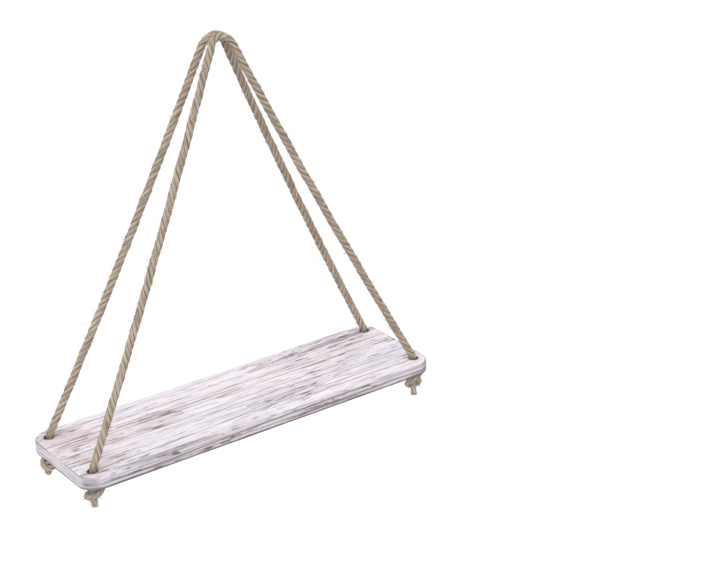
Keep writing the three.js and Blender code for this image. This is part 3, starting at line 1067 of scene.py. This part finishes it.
# From a face of the board into a hole: depth and widening, as shares of the rim
RIM_SHARES = ((0, 1), (0.35, 0.4), (1, 0))

# How far in sanding has brought the edge, and the lengths and depths of its wander
SANDING = 0.12 * MM
SWAY_LENGTH = 60 * MM
SWAY_DEPTH = 0.16 * MM
NICK_LENGTH = 14 * MM
NICK_DEPTH = 0.09 * MM
SANDED_WIDTH = 1.6 * EDGE_ROUNDING
UNSANDED_RADIUS = HOLE_RADIUS + 1.5 * HOLE_RIM
SANDING_SEED = 5


def deselect_all():
    """Leaves no object selected."""
    bpy.ops.object.select_all(action="DESELECT")


def select_only(piece):
    """Makes one object the active one and the only one selected."""
    deselect_all()
    bpy.context.view_layer.objects.active = piece
    piece.select_set(True)


def pick_edges(piece, wanted):
    """Selects, in edit mode, the edges whose two ends pass a test."""
    mesh = bmesh.from_edit_mesh(piece.data)
    bpy.ops.mesh.select_all(action="DESELECT")
    bpy.context.tool_settings.mesh_select_mode = (False, True, False)
    for edge in mesh.edges:
        edge.select = bool(wanted(*(v.co for v in edge.verts)))
    mesh.select_flush_mode()
    bmesh.update_edit_mesh(piece.data)


def is_upright(a, b):
    """Whether an edge stands upright."""
    return abs(a.x - b.x) < TINY and abs(a.y - b.y) < TINY


def on_outline(point):
    """Whether a point lies on the outline of the board's top face or underside."""
    x, y = (abs(point[axis]) - (BOARD_HALF[axis] - CORNER_RADIUS) for axis in (0, 1))
    if x > TINY and y > TINY:
        outside = math.hypot(x, y) > CORNER_RADIUS - OUTLINE_MARGIN
    else:
        outside = abs(x - CORNER_RADIUS) < TINY or abs(y - CORNER_RADIUS) < TINY
    return outside and min(abs(point.z - TOP_FACE), abs(point.z - UNDERSIDE)) < TINY


def in_outline(a, b):
    """Whether an edge is part of that outline."""
    return all(on_outline(point) for point in (a, b, (a + b) / 2))


def board_blank():
    """The board before its holes: a block with round corners, a grid of faces and eased edges."""
    deselect_all()
    bpy.ops.mesh.primitive_cube_add(size=1, location=tuple((BOARD_LOW + BOARD_HIGH) / 2))
    board = bpy.context.object
    board.name = board.data.name = "whitewashed_board"
    bpy.ops.transform.resize(value=tuple(BOARD_SIZE))
    bpy.ops.object.transform_apply(location=True, rotation=True, scale=True)
    bpy.ops.object.mode_set(mode="EDIT")
    pick_edges(board, is_upright)
    bpy.ops.mesh.bevel(offset=CORNER_RADIUS, segments=CORNER_SEGMENTS, profile=0.5)

    for axis in (0, 1):
        reach = BOARD_HALF[axis] - CORNER_RADIUS
        cuts = int(2 * reach / GRID_SPACING)
        for i in range(1, cuts):
            place = [0.0, 0.0, 0.0]
            place[axis] = -reach + 2 * reach * i / cuts
            normal = [0.0, 0.0, 0.0]
            normal[axis] = 1.0
            bpy.ops.mesh.select_all(action="SELECT")
            bpy.ops.mesh.bisect(plane_co=place, plane_no=normal)

    pick_edges(board, in_outline)
    bpy.ops.mesh.bevel(offset=EDGE_ROUNDING, segments=EDGE_SEGMENTS, profile=0.5)
    bpy.ops.object.mode_set(mode="OBJECT")
    return board


def hole_cutter(x, y):
    """A round bar, flared at both faces of the board."""
    deselect_all()
    bpy.ops.mesh.primitive_cylinder_add(
        vertices=HOLE_SIDES,
        radius=HOLE_RADIUS,
        depth=BOARD_SIZE[2] + 2 * CUTTER_OVERRUN,
        location=(x, y, HOLE_MIDDLE),
    )
    cutter = bpy.context.object
    bpy.ops.object.transform_apply(location=True, rotation=True, scale=True)
    bpy.ops.object.mode_set(mode="EDIT")
    levels = [(UNDERSIDE + depth * HOLE_RIM, flare * HOLE_RIM) for depth, flare in RIM_SHARES]
    levels += [(TOP_FACE - depth * HOLE_RIM, flare * HOLE_RIM) for depth, flare in RIM_SHARES[::-1]]
    heights, flares = zip(*levels)
    for z in heights:
        bpy.ops.mesh.select_all(action="SELECT")
        bpy.ops.mesh.bisect(plane_co=(x, y, z), plane_no=(0, 0, 1))
    mesh = bmesh.from_edit_mesh(cutter.data)
    for v in mesh.verts:
        wider = 1 + np.interp(v.co.z, heights, flares) / HOLE_RADIUS
        v.co.x = x + (v.co.x - x) * wider
        v.co.y = y + (v.co.y - y) * wider
    bmesh.update_edit_mesh(cutter.data)
    bpy.ops.object.mode_set(mode="OBJECT")
    return cutter


def wear_edges(board):
    """Lets the board's rounded edge wander a little, as hand sanding leaves it."""
    co = np.zeros(3 * len(board.data.vertices), np.float32)
    board.data.vertices.foreach_get("co", co)
    co = co.reshape(-1, 3).astype(float)
    outward = np.maximum(np.abs(co[:, :2]) - (BOARD_HALF[:2] - CORNER_RADIUS), 0)
    reach = np.linalg.norm(outward, axis=1)
    at_edge = np.clip(1 - (CORNER_RADIUS - reach) / SANDED_WIDTH, 0, 1)
    at_edge *= np.hypot(np.abs(co[:, 0]) - HOLE_X, np.abs(co[:, 1]) - HOLE_Y) > UNSANDED_RADIUS
    rng = np.random.default_rng(SANDING_SEED)
    run = co[:, 0] - co[:, 1]
    sway = slow_noise(rng, run, SWAY_LENGTH) * SWAY_DEPTH
    nick = slow_noise(rng, run + 3 * co[:, 2], NICK_LENGTH) * NICK_DEPTH
    inward = -(SANDING + np.abs(sway + nick)) * at_edge
    direction = outward * np.sign(co[:, :2]) / np.maximum(reach, TINY)[:, None]
    level = (co[:, 2] - HOLE_MIDDLE) / BOARD_HALF[2]
    co[:, :2] += direction * inward[:, None]
    co[:, 2] += np.sign(level) * np.abs(level) ** 3 * inward / 2
    board.data.vertices.foreach_set("co", co.astype(np.float32).ravel())
    board.data.update()


def add_board(wood):
    """The board with its four rope holes."""
    board = board_blank()
    for side in SIDES.values():
        for row in ROWS.values():
            cutter = hole_cutter(side * HOLE_X, row * HOLE_Y)
            cut = board.modifiers.new("rope_hole", "BOOLEAN")
            cut.operation = "DIFFERENCE"
            cut.solver = "EXACT"
            cut.object = cutter
            select_only(board)
            bpy.ops.object.modifier_apply(modifier=cut.name)
            bpy.data.objects.remove(cutter)
    wear_edges(board)
    select_only(board)
    bpy.ops.object.shade_smooth_by_angle(angle=SMOOTH_ANGLE)
    finish_piece(board, wood)
    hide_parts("board")
    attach(board, "shelf")


# Light and surroundings

FLOOR_DEPTH = 1.5
FLOOR_REACH = 30.0
FLOOR_LIT = (0.55, 0.55, 0.55, 1)
FLOOR_SEEN = (0.45, 0.45, 0.45, 1)
FLOOR_GLOW = 0.62


def seen_apart(tree, lit, seen):
    """One shader that lights the scene, and another that the camera and glossy rays see."""
    path = tree.nodes.new("ShaderNodeLightPath")
    looks = sums(tree, "MAXIMUM", path.outputs["Is Camera Ray"], path.outputs["Is Glossy Ray"])
    return add_node(tree, "ShaderNodeMixShader", looks, lit, seen).outputs[0]


def add_floor():
    """A plain pale floor, far enough below that the shelf's shadow falls outside the view."""
    deselect_all()
    bpy.ops.mesh.primitive_plane_add(size=2 * FLOOR_REACH, location=(0, 0, -FLOOR_DEPTH))
    floor = bpy.context.object
    floor.name = floor.data.name = "floor"
    material = bpy.data.materials.new("pale_floor")
    material.use_nodes = True
    tree = material.node_tree
    tree.nodes.clear()
    lit = add_node(tree, "ShaderNodeBsdfDiffuse", Color=FLOOR_LIT).outputs[0]
    shown = add_node(tree, "ShaderNodeBsdfDiffuse", Color=FLOOR_SEEN).outputs[0]
    glow = add_node(tree, "ShaderNodeEmission", Strength=FLOOR_GLOW).outputs[0]
    seen = add_node(tree, "ShaderNodeAddShader", shown, glow).outputs[0]
    add_node(tree, "ShaderNodeOutputMaterial", Surface=seen_apart(tree, lit, seen))
    floor.data.materials.append(material)


SKY_STRENGTH = 0.6
SKY_COLOUR = (1, 1, 1, 1)

# Each lamp's strength, where its light comes from, and how wide it looks in degrees
LAMPS = {
    "overhead": (0.28, Vector((0, 0, 1)), 110),
    "key": (0.22, Vector((-0.5, -0.4, 0.77)), 50),
}


def add_light():
    """Soft light from all round, and more from the upper left."""
    world = bpy.data.worlds.new("studio")
    bpy.context.scene.world = world
    world.use_nodes = True
    tree = world.node_tree
    tree.nodes.clear()
    lit = add_node(tree, "ShaderNodeBackground", Color=SKY_COLOUR, Strength=SKY_STRENGTH).outputs[0]
    seen = add_node(tree, "ShaderNodeBackground", Color=SKY_COLOUR).outputs[0]
    add_node(tree, "ShaderNodeOutputWorld", Surface=seen_apart(tree, lit, seen))

    for name, (strength, source, spread) in LAMPS.items():
        lamp = add_object(name, bpy.data.lights.new(name, "SUN"))
        lamp.data.energy = math.pi * strength
        lamp.data.angle = math.radians(spread)
        lamp.rotation_mode = "QUATERNION"
        lamp.rotation_quaternion = source.to_track_quat("Z", "Y")


add_camera()
streaks = streaks_group()
jute = jute_rope(streaks)
stray = stray_jute(streaks)
for row_name in ROWS:
    add_rope(row_name, jute, stray)
add_board(whitewashed_wood(streaks))
add_floor()
add_light()
bpy.context.scene.view_settings.view_transform = "Standard"
